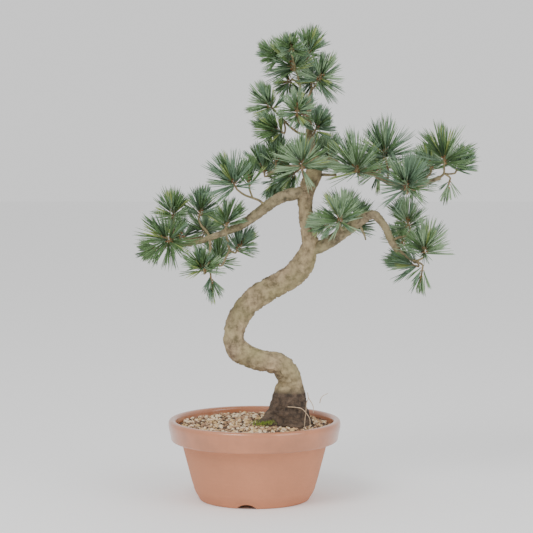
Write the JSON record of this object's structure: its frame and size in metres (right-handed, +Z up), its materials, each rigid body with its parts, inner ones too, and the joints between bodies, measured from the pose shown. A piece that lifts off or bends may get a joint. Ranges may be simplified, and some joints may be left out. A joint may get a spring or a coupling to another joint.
{
  "type": "potted japanese white pine",
  "caption": "Dwarf pine tree trained as a bonsai, with a curved trunk, spreading boughs and open tufts of needles, standing in a shallow round terracotta pot.",
  "frame": {"origin": "on the ground, under the middle of the whole plant's bounding box", "axes": "+Z up, +X to the viewer's right, -Y towards the viewer"},
  "size_m": [0.4248, 0.2154, 0.5794],
  "materials": {
    "pot_clay": "matte fired clay with a glossy glazed band",
    "soil": "loose granules",
    "bark": "rough flaky bark",
    "needles": "satin"
  },
  "bodies": {
    "root": {"pot": "pot_clay", "soil": "soil", "trunk": "bark", "left_bough": "bark", "upper_left_bough": "bark", "right_upper_bough": "bark", "right_lower_bough": "bark", "right_lower_bough_tip": "bark", "right_spur": "bark", "dead_twig": "bark", "foliage_apex_right": "needles", "foliage_apex_left": "needles", "foliage_middle_front": "needles", "foliage_middle_left": "needles", "foliage_middle_right": "needles", "foliage_middle_back": "needles", "foliage_centre_front": "needles", "foliage_centre_back": "needles", "foliage_centre_left": "needles", "foliage_upper_left": "needles", "foliage_left_top": "needles", "foliage_left_middle": "needles", "foliage_left_rise": "needles", "foliage_left_end": "needles", "foliage_left_low_front": "needles", "foliage_left_low_back": "needles", "foliage_left_back": "needles", "foliage_right_start": "needles", "foliage_right_front": "needles", "foliage_right_high": "needles", "foliage_right_middle": "needles", "foliage_right_middle_back": "needles", "foliage_right_back": "needles", "foliage_right_end": "needles", "foliage_low_front": "needles", "foliage_low_right": "needles", "foliage_low_back": "needles", "foliage_end_high": "needles", "foliage_end_back": "needles", "foliage_end": "needles"}
  },
  "joints": []
}
